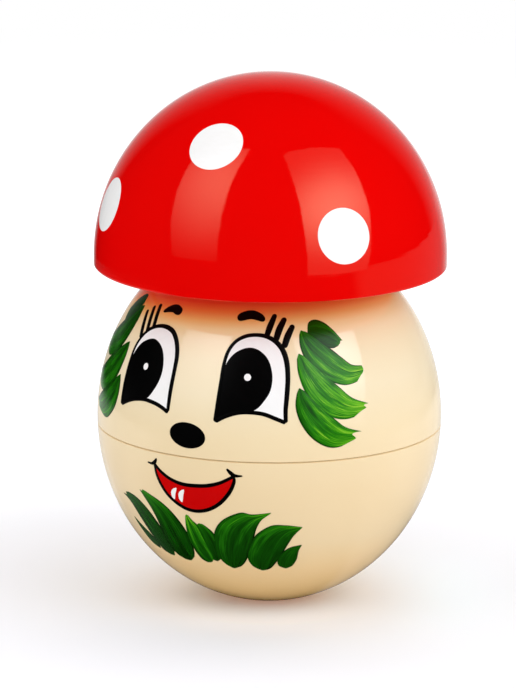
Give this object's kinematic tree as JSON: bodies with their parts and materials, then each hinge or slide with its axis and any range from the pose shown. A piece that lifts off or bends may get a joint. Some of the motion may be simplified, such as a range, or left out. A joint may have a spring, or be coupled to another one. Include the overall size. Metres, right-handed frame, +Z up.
{
  "type": "roly poly toy",
  "caption": "Turned wooden mushroom toy with a red dome cap on an egg-shaped weighted body that rocks and stands up again, with a clapper and tone rods inside.",
  "frame": {"origin": "middle of the small flat under the body, where the toy stands", "axes": "+Z up along the turning axis, the painted face looks along -Y, +X to the viewer's right in front of the face"},
  "size_m": [0.08, 0.08, 0.1213],
  "materials": {
    "red_lacquer": "gloss red paint under clear lacquer on turned wood",
    "cream_lacquer": "gloss cream paint under clear lacquer on turned wood",
    "bare_birch": "bare turned birch",
    "grey_iron": "as cast",
    "steel": "drawn",
    "brass": "turned"
  },
  "bodies": {
    "toy": {"cap_dome": "red_lacquer", "cap_underside": "red_lacquer", "cap_post": "bare_birch", "upper_shell": "cream_lacquer", "lower_shell": "cream_lacquer", "weight": "grey_iron", "weight_screw": "steel", "tone_rod_1": "steel", "tone_rod_2": "steel", "tone_rod_3": "steel", "tone_rod_4": "steel", "hanger_staple": "steel"},
    "link": {"hanger_link": "steel"},
    "clapper": {"clapper_stem": "steel", "clapper_bead": "brass", "bead_collars": "brass"}
  },
  "joints": [
    {"name": "link_swing", "type": "hinge", "parent": "toy", "child": "link", "pos_m": [0, 0, 0.06924], "axis": [1, 0, 0], "range_deg": [-25.5, 25.5]},
    {"name": "clapper_swing", "type": "hinge", "parent": "link", "child": "clapper", "pos_m": [0, 0, 0.06504], "axis": [0, 1, 0], "range_deg": [-31, 31]}
  ]
}
